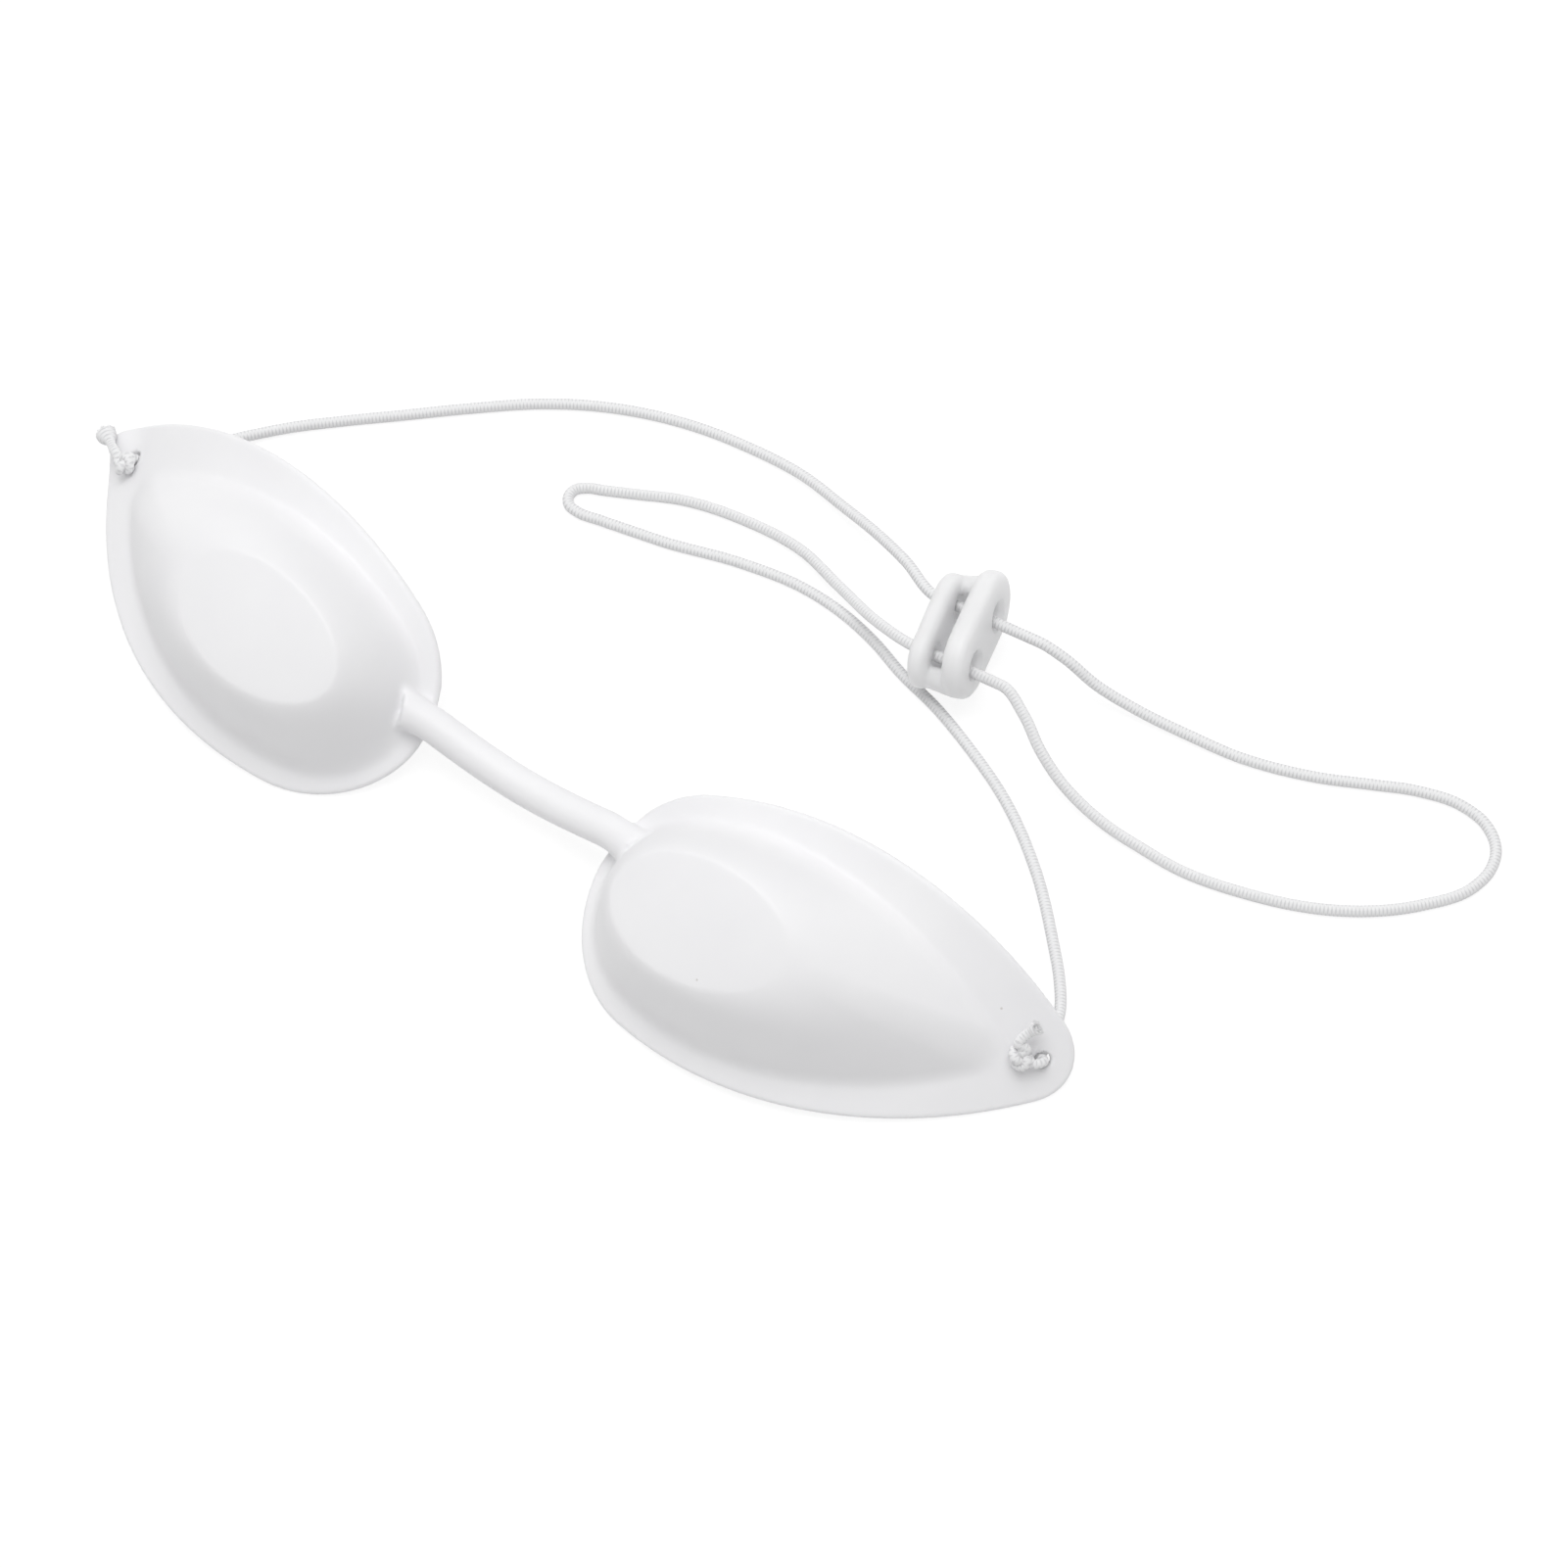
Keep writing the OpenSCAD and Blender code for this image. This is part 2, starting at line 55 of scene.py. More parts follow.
# Camera, at the view that fits both cups of the photograph
def add_camera():
    back = (0.33531, -0.40699, 0.84966)
    right = (0.78978, 0.61313, -0.01799)
    up = (-0.51363, 0.67708, 0.52702)
    place = (0.227087, -0.218141, 0.510507)
    data = bpy.data.cameras.new("camera")
    data.sensor_fit = "HORIZONTAL"
    data.sensor_width = 36
    data.lens = 100.98
    data.clip_start = 0.01
    data.clip_end = 20
    camera = bpy.data.objects.new("camera", data)
    put_in_scene(camera, right, up, back, place)
    scene.camera = camera


add_camera()


# Small helpers for points
def unit(v):
    v = np.asarray(v, float)
    return v / np.linalg.norm(v)


def bearing(v):
    return math.degrees(math.atan2(v[1], v[0]))


def mirrored(p):
    return np.array(p, float) * [-1, 1, 1]


def sind(a):
    return math.sin(math.radians(a))


def cosd(a):
    return math.cos(math.radians(a))


# Sizes of the shield, as in the CAD, but for the left hole's shift and the bridge's flare
EYE_X = 32.5
WALL = 1.3
DOME_H = 13.5
BOW_R = 60
BOW_X = 41.5
REST_TILT = 30.8
REST_SHIFT = np.array([0, -2.26634, 9.44018])
FOOT_FILLET = 1.2
SLOPE_SHARE = 0.28
FACET_A = 13.4
FACET_B = 8
FACET_C = np.array([5.3, 2.0])
FACET_TURN = 7
FACET_CROWN = 0.5
FOOT_NOSE = np.array([-1.5, -0.5])
FOOT_NOSE_R = 12.5
RIM_NOSE_R = 17
# Rim and dome's foot: middle and radius of the nose end and of the temple end, then the radii of
# the brow side and of the cheek side
RIM = (np.array([0.0, 0]), RIM_NOSE_R, np.array([44.5, 8.5]), 7, 60, 61)
FOOT = (FOOT_NOSE, FOOT_NOSE_R, np.array([38.5, 6.0]), 4, 52, 52)
CORD_HOLE = np.array([47.1, 9.0])
CORD_HOLE_R = 1.15
LEFT_HOLE_SHIFT = np.array([-0.75, 0.2])
BRIDGE_R = 2.5
BRIDGE_Y = 3
BRIDGE_RISE = 3.2
BRIDGE_SAG = 1.6
BRIDGE_FLARE = 0.35
ROOT_L = 2
FLANGE_NOSE = 3
CORD_R = 0.8


def sheet_z(x):
    return -((x - BOW_X) ** 2) / (2 * BOW_R)


def on_sheet(p, h):
    """A flat point of the right cup, at a height h over the bowed sheet."""
    return np.array([EYE_X + p[0], p[1], h + sheet_z(EYE_X + p[0])])


def tilted(p):
    p = np.asarray(p, float)
    c, s = cosd(REST_TILT), sind(REST_TILT)
    return np.stack([p[..., 0], p[..., 1] * c - p[..., 2] * s, p[..., 1] * s + p[..., 2] * c], -1)


def at_rest(p):
    """From the shield's own frame to the way that it lies on the table."""
    return tilted(p) + REST_SHIFT


# Cord: route on the table, as in the CAD, but for the right stretch. That lies up to 0.8 mm from
# the CAD's beside the lock, and up to 0.5 mm at the tip of the small loop.
LOCK_PITCH = 8.8
LOCK_BORE_R = 1.85
LOCK_W = 10.1
LOCK_PLATE = 2.9
LOCK_SLOT = 2.5
LOCK_ROUND = 1.3
LOCK_TURN = 16
LOCK_TIP = 10
# Gap between the lock and the cord that lies under it
LOCK_AIR = 0.25
LOCK_WIDTH = 2 * LOCK_PLATE + LOCK_SLOT
LOCK_LEVEL = (
    (LOCK_W / 2 - LOCK_ROUND) * cosd(LOCK_TIP)
    + (LOCK_WIDTH / 2 - LOCK_ROUND) * sind(LOCK_TIP)
    + LOCK_ROUND
)
LOW_BORE = np.array([33.7, 52.1, 2 * CORD_R + LOCK_AIR + LOCK_LEVEL])
HIGH_BORE = LOW_BORE + LOCK_PITCH * np.array([-sind(LOCK_TURN), cosd(LOCK_TURN), 0])
# Direction of the straight stretch through the lock: angles from X and up from the table
CORD_BEARING = 7
CORD_CLIMB = 3
ALONG = np.array([
    cosd(CORD_BEARING) * cosd(CORD_CLIMB), sind(CORD_BEARING) * cosd(CORD_CLIMB), sind(CORD_CLIMB),
])
# How far the cord lies under a bore's middle, as a share of the room that it has there
DROP_SHARE = 0.2
CORD_DROP = np.array([0, 0, -DROP_SHARE * (LOCK_BORE_R - CORD_R)])
SPLIT_X = 42.4

# Points of the cord's three stretches, with Z up from where a cord on the table lies
LEFT_POINTS = [
    (-78.2, 14.4, 1.5), (-75.8, 19, 0.9), (-72.6, 24, 0.5), (-67.3, 31.1, 0.1), (-62.3, 36.3, 0),
    (-56.5, 41.9, 0), (-49.2, 49, 0), (-41.8, 55.6, 0), (-35.6, 59.9, 0), (-29.2, 63.2, 0),
    (-22.1, 65.8, 0), (-13.8, 67.6, 0), (-3.8, 68.3, 0.4), (4.9, 66.7, 1.8), (13.2, 64.5, 4),
    (19.4, 62.4, 5.5),
]
LOOP_POINTS = [
    (46.4, 62.4, 6), (51.6, 63, 3.2), (58, 64.2, 1.2), (65.5, 65.6, 0.3), (72.9, 67, 0),
    (83.5, 70.9, 0), (89.6, 74.2, 0), (95.6, 77.3, 0), (101.1, 78.8, 0), (105.6, 78.2, 0),
    (108.9, 75.5, 0), (109.9, 72.3, 0), (109.5, 68.8, 0), (105.4, 62.3, 0), (97.4, 55.2, 0),
    (92, 52.2, 0), (86.5, 50, 0), (76.7, 47.4, 0), (70.4, 47, 0.2), (65, 46.9, 0.5),
    (60.2, 47.3, 1.2), (56.1, 48, 2.4), (51.9, 49.4, 4), (47.4, 51.7, 5.8),
]
RIGHT_POINTS = [
    (22.2, 52.2, 5), (13.2, 55.1, 2.5), (3.7, 57.9, 0.5), (-6.3, 57.2, 0), (-15.1, 54.6, 0),
    (-20.4, 51.7, 0), (-24.6, 49.4, 0), (-27, 48.1, 0), (-28, 47, 0), (-28, 45.5, 0),
    (-27, 44.4, 0), (-25.4, 44.2, 0), (-21.5, 45.1, 0), (-17.3, 46.2, 0), (-12.4, 47.5, 0),
    (-1.2, 51.3, 0), (8.2, 53.2, 0), (15.4, 53.1, 0), (21.5, 52, 0), (28, 50, 0),
    (34.8, 48.5, 0), (42.4, 46, 0), (51.1, 42.3, 0), (61.4, 35.6, 0), (69.8, 28, 0),
    (73.8, 23.9, 0.1), (76.7, 20, 0.5), (78.4, 15.6, 1.4),
]

HOLE_LEAN = math.degrees(math.atan((EYE_X + CORD_HOLE[0] - BOW_X) / BOW_R))
HOLE_AXIS = np.array([sind(HOLE_LEAN), 0, cosd(HOLE_LEAN)])
HOLE_UP = tilted(HOLE_AXIS)
# Depth in the hole where cord and knot meet, the cord's first free point under the flange, and how
# far the straight stretch goes on behind the lock
KNOT_START = 0.2
UNDER_HOLE = 0.8
PAST_LOCK = 1


def hole_at(side):
    """Where the cord's hole is on the sheet of one cup; side is 1 right, -1 left."""
    return CORD_HOLE if side == 1 else CORD_HOLE + LEFT_HOLE_SHIFT


def in_hole(depth, side=1):
    """A point on the axis of one cup's hole, at a depth under the flange's top."""
    return at_rest(on_sheet(hole_at(side), 0) + HOLE_AXIS * (WALL - depth)) * [side, 1, 1]


def in_bore(bore, x):
    """The point of the straight stretch through a bore that has the given X."""
    return bore + CORD_DROP + ALONG * (x - bore[0]) / ALONG[0]


def behind(bore):
    return in_bore(bore, bore[0] - LOCK_WIDTH / 2 - PAST_LOCK)


def lay(points):
    """The middle of a cord that lies at these points."""
    return [np.array([p[0], p[1], p[2] + CORD_R]) for p in points]


def headings(p, first, last):
    """The direction of the curve at each of its points."""
    out = [np.asarray(first, float)]
    for i in range(1, len(p) - 1):
        a, b = p[i] - p[i - 1], p[i + 1] - p[i]
        la, lb = np.linalg.norm(a), np.linalg.norm(b)
        out.append(unit(a / la * lb + b / lb * la))
    return out + [np.asarray(last, float)]


def smooth(p, first, last, floor, step=0.25):
    """Points of the curve through p, whose direction is given at both ends, above a floor."""
    h = headings(p, first, last)
    out = []
    for i in range(len(p) - 1):
        length = np.linalg.norm(p[i + 1] - p[i])
        count = max(2, round(length / step))
        for k in range(count):
            t = k / count
            w = 1 - t
            q = p[i] * (1 + 2 * t) * w * w + p[i + 1] * t * t * (3 - 2 * t)
            q = q + h[i] * length * t * w * w - h[i + 1] * length * t * t * w
            out.append([q[0], q[1], max(q[2], floor)])
    out.append(list(p[-1]))
    return np.array(out)


def evenly(points, step):
    """The same line, with its points an even step apart."""
    lengths = np.concatenate([[0], np.cumsum(np.linalg.norm(np.diff(points, axis=0), axis=1))])
    at = np.linspace(0, lengths[-1], max(2, round(lengths[-1] / step)) + 1)
    return np.stack([np.interp(at, lengths, points[:, k]) for k in range(3)], -1), at


def cord_line():
    """The cord's middle line, from the left hole through the lock, round and back to the right."""
    left_up = -mirrored(HOLE_UP)
    left = [in_hole(KNOT_START, -1), in_hole(WALL + UNDER_HOLE, -1)] + lay(LEFT_POINTS)
    left += [behind(HIGH_BORE), HIGH_BORE + CORD_DROP, in_bore(HIGH_BORE, SPLIT_X)]
    loop = [in_bore(HIGH_BORE, SPLIT_X)] + lay(LOOP_POINTS) + [in_bore(LOW_BORE, SPLIT_X)]
    right = [in_bore(LOW_BORE, SPLIT_X), LOW_BORE + CORD_DROP, behind(LOW_BORE)]
    right += lay(RIGHT_POINTS) + [in_hole(WALL + UNDER_HOLE), in_hole(KNOT_START)]
    parts = [
        smooth(left, left_up, ALONG, CORD_R),
        smooth(loop, ALONG, -ALONG, CORD_R)[1:],
        smooth(right, -ALONG, HOLE_UP, CORD_R)[1:],
    ]
    return np.concatenate(parts)


# Mesh helpers
def shade_smooth(mesh):
    mesh.polygons.foreach_set("use_smooth", [True] * len(mesh.polygons))


def mesh_object(name, points, faces):
    mesh = bpy.data.meshes.new(name)
    mesh.from_pydata((np.asarray(points) * MM).tolist(), [], faces)
    mesh.validate()
    shade_smooth(mesh)
    obj = bpy.data.objects.new(name, mesh)
    scene.collection.objects.link(obj)
    return obj


def joined(solids):
    """The points and faces of several solids, as those of one."""
    points, faces = [], []
    for own_points, own_faces in solids:
        faces += [tuple(v + len(points) for v in face) for face in own_faces]
        points += np.asarray(own_points).tolist()
    return points, faces


def ring_faces(rings, sides):
    faces = []
    for j in range(rings - 1):
        for k in range(sides):
            a = j * sides + k
            b = j * sides + (k + 1) % sides
            faces.append((a, b, b + sides, a + sides))
    return faces


def closed_rings(rings):
    """A closed skin over rings of points, with a point in the middle of each end."""
    count, sides = len(rings), len(rings[0])
    middles = [np.mean(rings[0], 0), np.mean(rings[-1], 0)]
    points = np.concatenate([np.concatenate(rings), middles])
    faces = ring_faces(count, sides)
    first, last = count * sides, count * sides + 1
    faces += [(first, (k + 1) % sides, k) for k in range(sides)]
    base = (count - 1) * sides
    faces += [(last, base + k, base + (k + 1) % sides) for k in range(sides)]
    return points, faces


def carried_sides(line):
    """Two directions across a line of points, carried along it without twist."""
    ahead = np.gradient(line, axis=0)
    ahead /= np.linalg.norm(ahead, axis=1)[:, None]
    side = np.zeros_like(line)
    starts_level = abs(ahead[0][2]) < 0.6
    now = np.array([0, 0, 1.0]) if starts_level else np.array([0, 1.0, 0])
    for i, h in enumerate(ahead):
        now = unit(now - h * (now @ h))
        side[i] = now
    return side, np.cross(ahead, side)


# The braid: spacing and depth of its ribs, and how far the two lays are out of step, in radians
BRAID_RIB = 0.52
BRAID_DEPTH = 0.042
BRAID_SHIFT = 0.8


def braid(at, angle):
    """Height of the braid, from 0 in the gaps to 1 on the crowns: close ribs, wound both ways."""
    one = np.abs(np.cos(math.pi * at / BRAID_RIB + angle))
    two = np.abs(np.cos(math.pi * at / BRAID_RIB - angle + BRAID_SHIFT))
    return 0.55 * np.maximum(one, two) + 0.45 * one


def braided_rings(line, at, radii):
    """Rings of a braided tube round a line; at is how far along it each of its points is."""
    side, across = carried_sides(line)
    angle = np.arange(CORD_SIDES) * 2 * math.pi / CORD_SIDES
    height = braid(at[:, None], angle[None, :])
    reach = radii[:, None] - BRAID_DEPTH * (1 - height) * (radii[:, None] / CORD_R)
    spokes = (np.cos(angle)[None, :, None] * side[:, None, :]
              + np.sin(angle)[None, :, None] * across[:, None, :])
    return line[:, None, :] + reach[..., None] * spokes


def write_braid_uv(obj, at):
    """UV of a braided tube: millimetres along it, and the turn round it."""
    mesh = obj.data
    layer = mesh.uv_layers.new(name="braid")
    count = len(mesh.loops)
    index = np.zeros(count, np.int32)
    mesh.loops.foreach_get("vertex_index", index)
    ring = np.minimum(index // CORD_SIDES, len(at) - 1)
    turn = (index % CORD_SIDES) / CORD_SIDES
    turn[index >= len(at) * CORD_SIDES] = 0
    # The last strip of each ring goes on past one turn, so that it doesn't run back
    starts = np.zeros(len(mesh.polygons), np.int32)
    totals = np.zeros(len(mesh.polygons), np.int32)
    mesh.polygons.foreach_get("loop_start", starts)
    mesh.polygons.foreach_get("loop_total", totals)
    face = np.repeat(np.arange(len(starts)), totals)
    high = np.maximum.reduceat(turn, starts)[face]
    turn = np.where((high > 0.75) & (turn < 0.25), turn + 1, turn)
    layer.data.foreach_set("uv", np.stack([at[ring], turn], -1).astype(np.float32).ravel())


# Materials
BUMP_M = 0.00004


def new_material(name):
    material = bpy.data.materials.new(name)
    material.use_nodes = True
    nodes = material.node_tree.nodes
    return material, nodes, material.node_tree.links, nodes["Principled BSDF"]


def add(nodes, kind, **values):
    node = nodes.new(kind)
    for key, value in values.items():
        if hasattr(node, key):
            setattr(node, key, value)
        else:
            node.inputs[key].default_value = value
    return node


def tinted(nodes, links, source, low, high, target):
    """A colour that follows a texture, between two close tints."""
    ramp = nodes.new("ShaderNodeValToRGB")
    ramp.color_ramp.elements[0].position = 0.3
    ramp.color_ramp.elements[0].color = (*low, 1)
    ramp.color_ramp.elements[1].position = 0.7
    ramp.color_ramp.elements[1].color = (*high, 1)
    links.new(source, ramp.inputs["Fac"])
    links.new(ramp.outputs["Color"], target)


def speck_mask(nodes, links, place):
    """1 in a few tiny dust specks in the moulding, and 0 elsewhere."""
    cells = add(nodes, "ShaderNodeTexVoronoi", Scale=250)
    links.new(place, cells.inputs["Vector"])
    both = add(nodes, "ShaderNodeMath", operation="MULTIPLY")
    # Near the middle of a cell, and in the few cells whose random value is high
    tests = (("Distance", "LESS_THAN", 0.042), ("Color", "GREATER_THAN", 0.74))
    for slot, (output, operation, limit) in enumerate(tests):
        test = add(nodes, "ShaderNodeMath", operation=operation)
        test.inputs[1].default_value = limit
        links.new(cells.outputs[output], test.inputs[0])
        links.new(test.outputs["Value"], both.inputs[slot])
    return both.outputs["Value"]


SPECK = (0.66, 0.64, 0.63, 1)
GLOSS_WANDER = 0.06
# A Mix node of colours has these sockets
MIX_FACTOR, MIX_LOW, MIX_HIGH, MIX_RESULT = 0, 6, 7, 2


def moulded_plastic(name, low, high, roughness, grain, glow, depth):
    """White plastic: cloudy tint, spark-eroded grain, a little wander in its gloss, a few specks.
    Light goes into it to a depth in mm, and glow is how much of it does."""
    material, nodes, links, shader = new_material(name)
    place = nodes.new("ShaderNodeTexCoord").outputs["Object"]
    cloud = add(nodes, "ShaderNodeTexNoise", Scale=60, Detail=3)
    fine = add(nodes, "ShaderNodeTexNoise", Scale=grain, Detail=4, Roughness=0.6)
    for texture in (cloud, fine):
        links.new(place, texture.inputs["Vector"])
    specks = speck_mask(nodes, links, place)
    tint = add(nodes, "ShaderNodeMix", data_type="RGBA")
    tinted(nodes, links, cloud.outputs["Fac"], low, high, tint.inputs[MIX_LOW])
    tint.inputs[MIX_HIGH].default_value = SPECK
    links.new(specks, tint.inputs[MIX_FACTOR])
    links.new(tint.outputs[MIX_RESULT], shader.inputs["Base Color"])
    spread = add(nodes, "ShaderNodeMapRange")
    spread.inputs["To Min"].default_value = roughness - GLOSS_WANDER
    spread.inputs["To Max"].default_value = roughness + GLOSS_WANDER
    links.new(fine.outputs["Fac"], spread.inputs["Value"])
    links.new(spread.outputs["Result"], shader.inputs["Roughness"])
    bump = add(nodes, "ShaderNodeBump", Strength=0.12, Distance=BUMP_M)
    links.new(fine.outputs["Fac"], bump.inputs["Height"])
    links.new(bump.outputs["Normal"], shader.inputs["Normal"])
    shader.inputs["IOR"].default_value = 1.46
    shader.inputs["Subsurface Weight"].default_value = glow
    shader.inputs["Subsurface Radius"].default_value = [depth * MM] * 3
    shader.inputs["Subsurface Scale"].default_value = 1
    return material


# Length of one wave of a Wave texture, and of two, where its scale is 1
WAVE = 0.628
TWO_WAVES = 1.257


def braided_cover(name, low, high):
    """White polyester braid over a rubber core: yarns along both lays, dull, with a soft sheen, and
    painted shade in the gaps between the yarns.
    """
    material, nodes, links, shader = new_material(name)
    uv = add(nodes, "ShaderNodeUVMap", uv_map="braid").outputs["UV"]
    waves = []
    for lean in (1, -1):
        mapping = nodes.new("ShaderNodeMapping")
        mapping.inputs["Scale"].default_value = (WAVE / BRAID_RIB, TWO_WAVES * lean, 1)
        links.new(uv, mapping.inputs["Vector"])
        wave = add(nodes, "ShaderNodeTexWave", bands_direction="DIAGONAL", Scale=1.0)
        links.new(mapping.outputs["Vector"], wave.inputs["Vector"])
        waves.append(wave.outputs["Fac"])
    crossing = add(nodes, "ShaderNodeMath", operation="MAXIMUM")
    links.new(waves[0], crossing.inputs[0])
    links.new(waves[1], crossing.inputs[1])
    hair = add(nodes, "ShaderNodeTexNoise", Scale=9, Detail=3)
    links.new(uv, hair.inputs["Vector"])
    blend = add(nodes, "ShaderNodeMath", operation="MULTIPLY")
    links.new(crossing.outputs["Value"], blend.inputs[0])
    links.new(hair.outputs["Fac"], blend.inputs[1])
    # The colour is darker in the gaps between the yarns than on their crowns: painted shade in the
    # grooves
    tinted(nodes, links, crossing.outputs["Value"], low, high, shader.inputs["Base Color"])
    bump = add(nodes, "ShaderNodeBump", Strength=0.4, Distance=BUMP_M)
    links.new(blend.outputs["Value"], bump.inputs["Height"])
    links.new(bump.outputs["Normal"], shader.inputs["Normal"])
    shader.inputs["Roughness"].default_value = 0.75
    shader.inputs["Sheen Weight"].default_value = 0.15
    shader.inputs["Sheen Roughness"].default_value = 0.5
    return material


shield_white = moulded_plastic(
    "shield_white", (0.835, 0.832, 0.846), (0.862, 0.86, 0.869),
    roughness=0.5, grain=2600, glow=0.12, depth=1.15,
)
lock_white = moulded_plastic(
    "lock_white", (0.775, 0.775, 0.786), (0.795, 0.795, 0.803),
    roughness=0.38, grain=3400, glow=1, depth=7,
)
# The first tint is the painted shade in the braid's gaps, the second the yarns' own white
cord_white = braided_cover("cord_white", (0.66, 0.66, 0.67), (0.81, 0.81, 0.815))


# Cord
CORD_STEP = 0.1
CORD_SIDES = 20


def add_cord():
    line, at = evenly(cord_line(), CORD_STEP)
    points, faces = closed_rings(list(braided_rings(line, at, np.full(len(line), CORD_R))))
    obj = mesh_object("elastic_cord", points, faces)
    write_braid_uv(obj, at)
    obj.data.materials.append(cord_white)
    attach(obj, "eye_shield")
    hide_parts("left_cord", "adjusting_loop", "right_cord")
    return obj, line, at[-1]


# Knots: a tight overhand knot of the same cord on each flange
KNOT_R = 0.64
KNOT_RING_R = 0.86
KNOT_WIND_R = 0.44
KNOT_HEIGHT = 1.35
KNOT_SWEEP = 316
KNOT_STEPS = 32
NO_FLOOR = -1e9


def trefoil(t):
    r = KNOT_RING_R - KNOT_WIND_R * cosd(3 * t)
    return np.array([r * cosd(2 * t), r * sind(2 * t), KNOT_HEIGHT * KNOT_WIND_R * sind(3 * t)])


def turned(p, a):
    return np.array([p[0] * cosd(a) - p[1] * sind(a), p[0] * sind(a) + p[1] * cosd(a), p[2]])


def knot_line(centre, turn, flip, lead, tail):
    """Line of a knot in its own frame: X outwards, Y browwards, Z off the flange's top."""
    points = [np.array(p, float) for p in [(0, 0, -KNOT_START), (0, 0, 0.5), *lead]]
    for i in range(KNOT_STEPS + 1):
        p = trefoil(-KNOT_SWEEP / 2 + KNOT_SWEEP * i / KNOT_STEPS)
        points.append(np.array(centre) + turned([p[0], p[1] * flip, p[2]], turn))
    points += [np.array(p, float) for p in tail]
    last = unit(points[-1] - points[-2])
    return evenly(smooth(points, [0, 0, 1], last, NO_FLOOR, CORD_STEP), CORD_STEP)


def leaned(points):
    """Turns points from a hole's own frame to the sheet's, where the hole leans outwards."""
    c, s = cosd(HOLE_LEAN), sind(HOLE_LEAN)
    x = points[..., 0] * c + points[..., 2] * s
    z = -points[..., 0] * s + points[..., 2] * c
    return np.stack([x, points[..., 1], z], -1)


def on_flange(points, side):
    """From a knot's own frame on the flange to the object's frame; side is 1 right, -1 left."""
    return at_rest(leaned(points) + on_sheet(hole_at(side), 0) + HOLE_AXIS * WALL) * [side, 1, 1]


FIBRES = 130
FIBRE_REACH = 0.6
FIBRE_R = 0.05
THIRDS = (0, 2.094, 4.189)


def fibre_set(end, ahead, end_r, seed):
    """Fine loose fibres that stand out of a cut cord end."""
    rng = random.Random(seed)
    fibres = []
    for _ in range(FIBRES):
        around = rng.uniform(0, 2 * math.pi)
        out = end_r * math.sqrt(rng.uniform(0.1, 1)) * 0.95
        side = unit(np.cross(ahead, [0.3, 0.5, 0.8]))
        other = np.cross(ahead, side)
        spoke = side * math.cos(around) + other * math.sin(around)
        start = end + spoke * out - ahead * 0.15
        aim = unit(ahead * rng.uniform(0.6, 1.2) + spoke * rng.uniform(0.1, 0.9))
        bend = unit(np.cross(aim, [rng.uniform(-1, 1) for _ in range(3)]))
        bend = bend * rng.uniform(0.05, 0.35)
        length = FIBRE_REACH * rng.uniform(0.45, 1.1)
        rings = []
        for t in (0, 0.35, 0.7, 1):
            mid = start + aim * length * t + bend * t * t * length
            radius = FIBRE_R * (1 - 0.6 * t)
            across = [spoke * math.cos(a) + np.cross(aim, spoke) * math.sin(a) for a in THIRDS]
            rings.append(mid + radius * np.array(across))
        fibres.append(closed_rings(rings))
    return joined(fibres)


# The cut end, as shares of its radius and heights: a rolled lip, and the rubber core inside it
CUT_END = ((0.93, 0.08), (0.8, 0.1), (0.62, 0.02), (0.58, -0.12), (0.45, -0.16), (0.2, -0.1))


def add_knot(name, side, shape, thickness, seed):
    """thickness is pairs of a distance from the cut end and the radius there."""
    line, at = knot_line(**shape)
    line = on_flange(line, side)
    from_end, radius = zip(*thickness)
    radii = np.interp(at[-1] - at, from_end, radius)
    rings = list(braided_rings(line, at, radii))
    ahead = unit(line[-1] - line[-3])
    lip = rings[-1]
    for scale, push in CUT_END:
        rings.append(line[-1] + (lip - line[-1]) * scale + ahead * push)
    fibres = fibre_set(line[-1], ahead, radius[0], seed)
    obj = mesh_object(name, *joined([closed_rings(rings), fibres]))
    write_braid_uv(obj, np.concatenate([at, np.full(len(CUT_END), at[-1])]))
    obj.data.materials.append(cord_white)
    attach(obj, "eye_shield")
    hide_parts(name.replace("_tied", ""))
    return obj


cord, cord_path, cord_length = add_cord()
left_knot = add_knot(
    "left_knot_tied", -1,
    dict(centre=(-0.85, -1.1, 1.2), turn=38, flip=1, lead=[(-0.2, -0.25, 0.95)],
         tail=[(0.7, -0.7, 2.1), (2.1, -0.3, 2.35), (3.7, 0.2, 2.5), (5.4, 0.7, 2.8)]),
    ((0, 1.5), (0.5, 1.45), (1, 1.25), (1.9, 0.7), (2.7, 0.66), (4, 0.8), (7, KNOT_R)), 3,
)
right_knot = add_knot(
    "right_knot_tied", 1,
    dict(centre=(-3.2, -0.8, 1.25), turn=50, flip=-1, lead=[(-0.45, -0.4, 0.95), (-1.3, -0.9, 1)],
         tail=[(-4.7, 0.7, 2.1), (-4.6, 1.8, 2.2), (-4.25, 2.9, 2.5), (-4, 3.65, 3)]),
    ((0, 0.98), (0.5, 0.92), (1.2, 0.74), (2.4, 0.7), (4, 0.76), (6, KNOT_R)), 5,
)


# Shield
# Columns of the skin round the temple, the brow, the nose and the cheek
ARC_COUNTS = (40, 60, 64, 52)
COLUMNS = sum(ARC_COUNTS)


def arc_centre(a, ra, b, rb, r, side):
    """Middle of the arc of radius r that touches the circles round a and b."""
    d = np.linalg.norm(b - a)
    e = (b - a) / d
    x = ((r - ra) ** 2 - (r - rb) ** 2 + d * d) / (2 * d)
    y = math.sqrt((r - ra) ** 2 - x * x)
    return a + e * x - side * np.array([-e[1], e[0]]) * y


def arc(centre, r, start, end, count):
    sweep = (end - start + 2 * 360) % 360
    angles = [start + sweep * i / count for i in range(count)]
    return [centre + r * np.array([cosd(a), sind(a)]) for a in angles]


